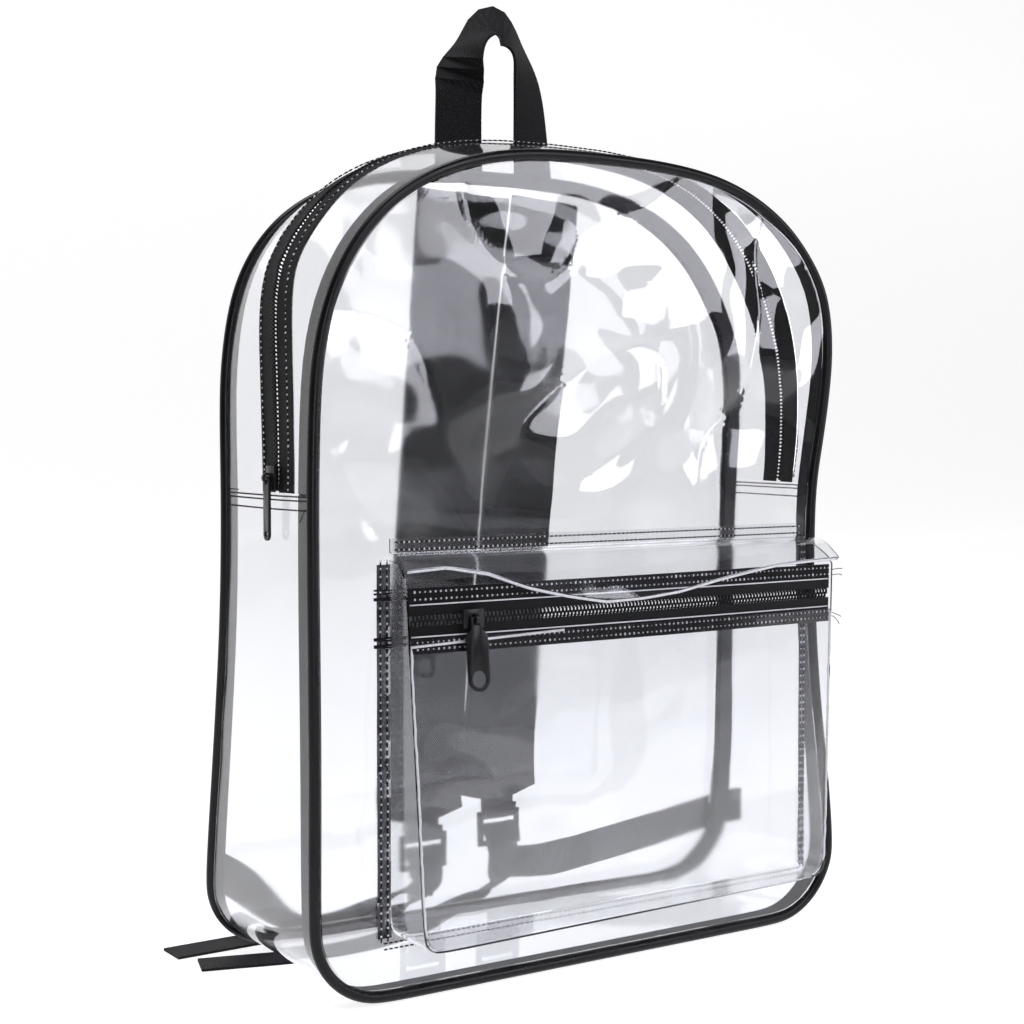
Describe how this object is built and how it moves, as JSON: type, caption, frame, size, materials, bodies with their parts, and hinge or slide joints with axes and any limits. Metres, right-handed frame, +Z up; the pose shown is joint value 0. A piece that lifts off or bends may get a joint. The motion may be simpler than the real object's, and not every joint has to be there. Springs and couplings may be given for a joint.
{
  "type": "clear stadium backpack",
  "caption": "Clear sheet backpack with black piping, arched main zip, zipped front pocket under a rain flap, haul loop, flat shoulder straps and free webbing tails.",
  "frame": {"origin": "under the middle of the whole part, on the surface that it stands on", "axes": "+Z up, -Y towards the front pocket, +X to the right of somebody who looks at the front"},
  "size_m": [0.3896, 0.1826, 0.5305],
  "materials": {
    "clear": "clear soft PVC sheet, glossy, very slightly grey",
    "black_piping": "black covered piping with a soft sheen",
    "black_tape": "black woven zip and binding tape",
    "black_coil": "black nylon zip coil",
    "black_metal": "black painted slider and pull tab, satin",
    "black_web": "black woven webbing and strap cloth",
    "black_plastic": "black moulded plastic, satin"
  },
  "bodies": {
    "bag": {"front_panel": "clear", "back_panel": "clear", "piping_front": "black_piping", "piping_back": "black_piping", "gusset_lower": "clear", "gusset_upper_front": "clear", "gusset_upper_back": "clear", "main_zip_tape_front": "black_tape", "main_zip_tape_back": "black_tape", "main_zip_coil": "black_coil", "binding_front": "black_tape", "binding_back": "black_tape", "main_zip_slider": "black_metal", "pocket_front": "clear", "pocket_gusset": "clear", "pocket_zip_tape_upper": "black_tape", "pocket_zip_tape_lower": "black_tape", "pocket_zip_coil": "black_coil", "pocket_zip_slider": "black_metal", "pocket_flap": "clear", "haul_loop": "black_web", "shoulder_strap_left": "black_web", "triglide_left": "black_plastic", "webbing_left": "black_web", "shoulder_strap_right": "black_web", "triglide_right": "black_plastic", "webbing_right": "black_web"},
    "main_puller": {"main_zip_puller": "black_metal"},
    "pocket_puller": {"pocket_zip_puller": "black_metal"}
  },
  "joints": [
    {"name": "main_puller_swing", "type": "hinge", "parent": "bag", "child": "main_puller", "pos_m": [-0.18346, -0.02388, 0.26241], "axis": [0, 1, 0], "range_deg": [0, 150]},
    {"name": "pocket_puller_swing", "type": "hinge", "parent": "bag", "child": "pocket_puller", "pos_m": [-0.09757, -0.0804, 0.19276], "axis": [-1, 0, 0], "range_deg": [0, 150]}
  ]
}
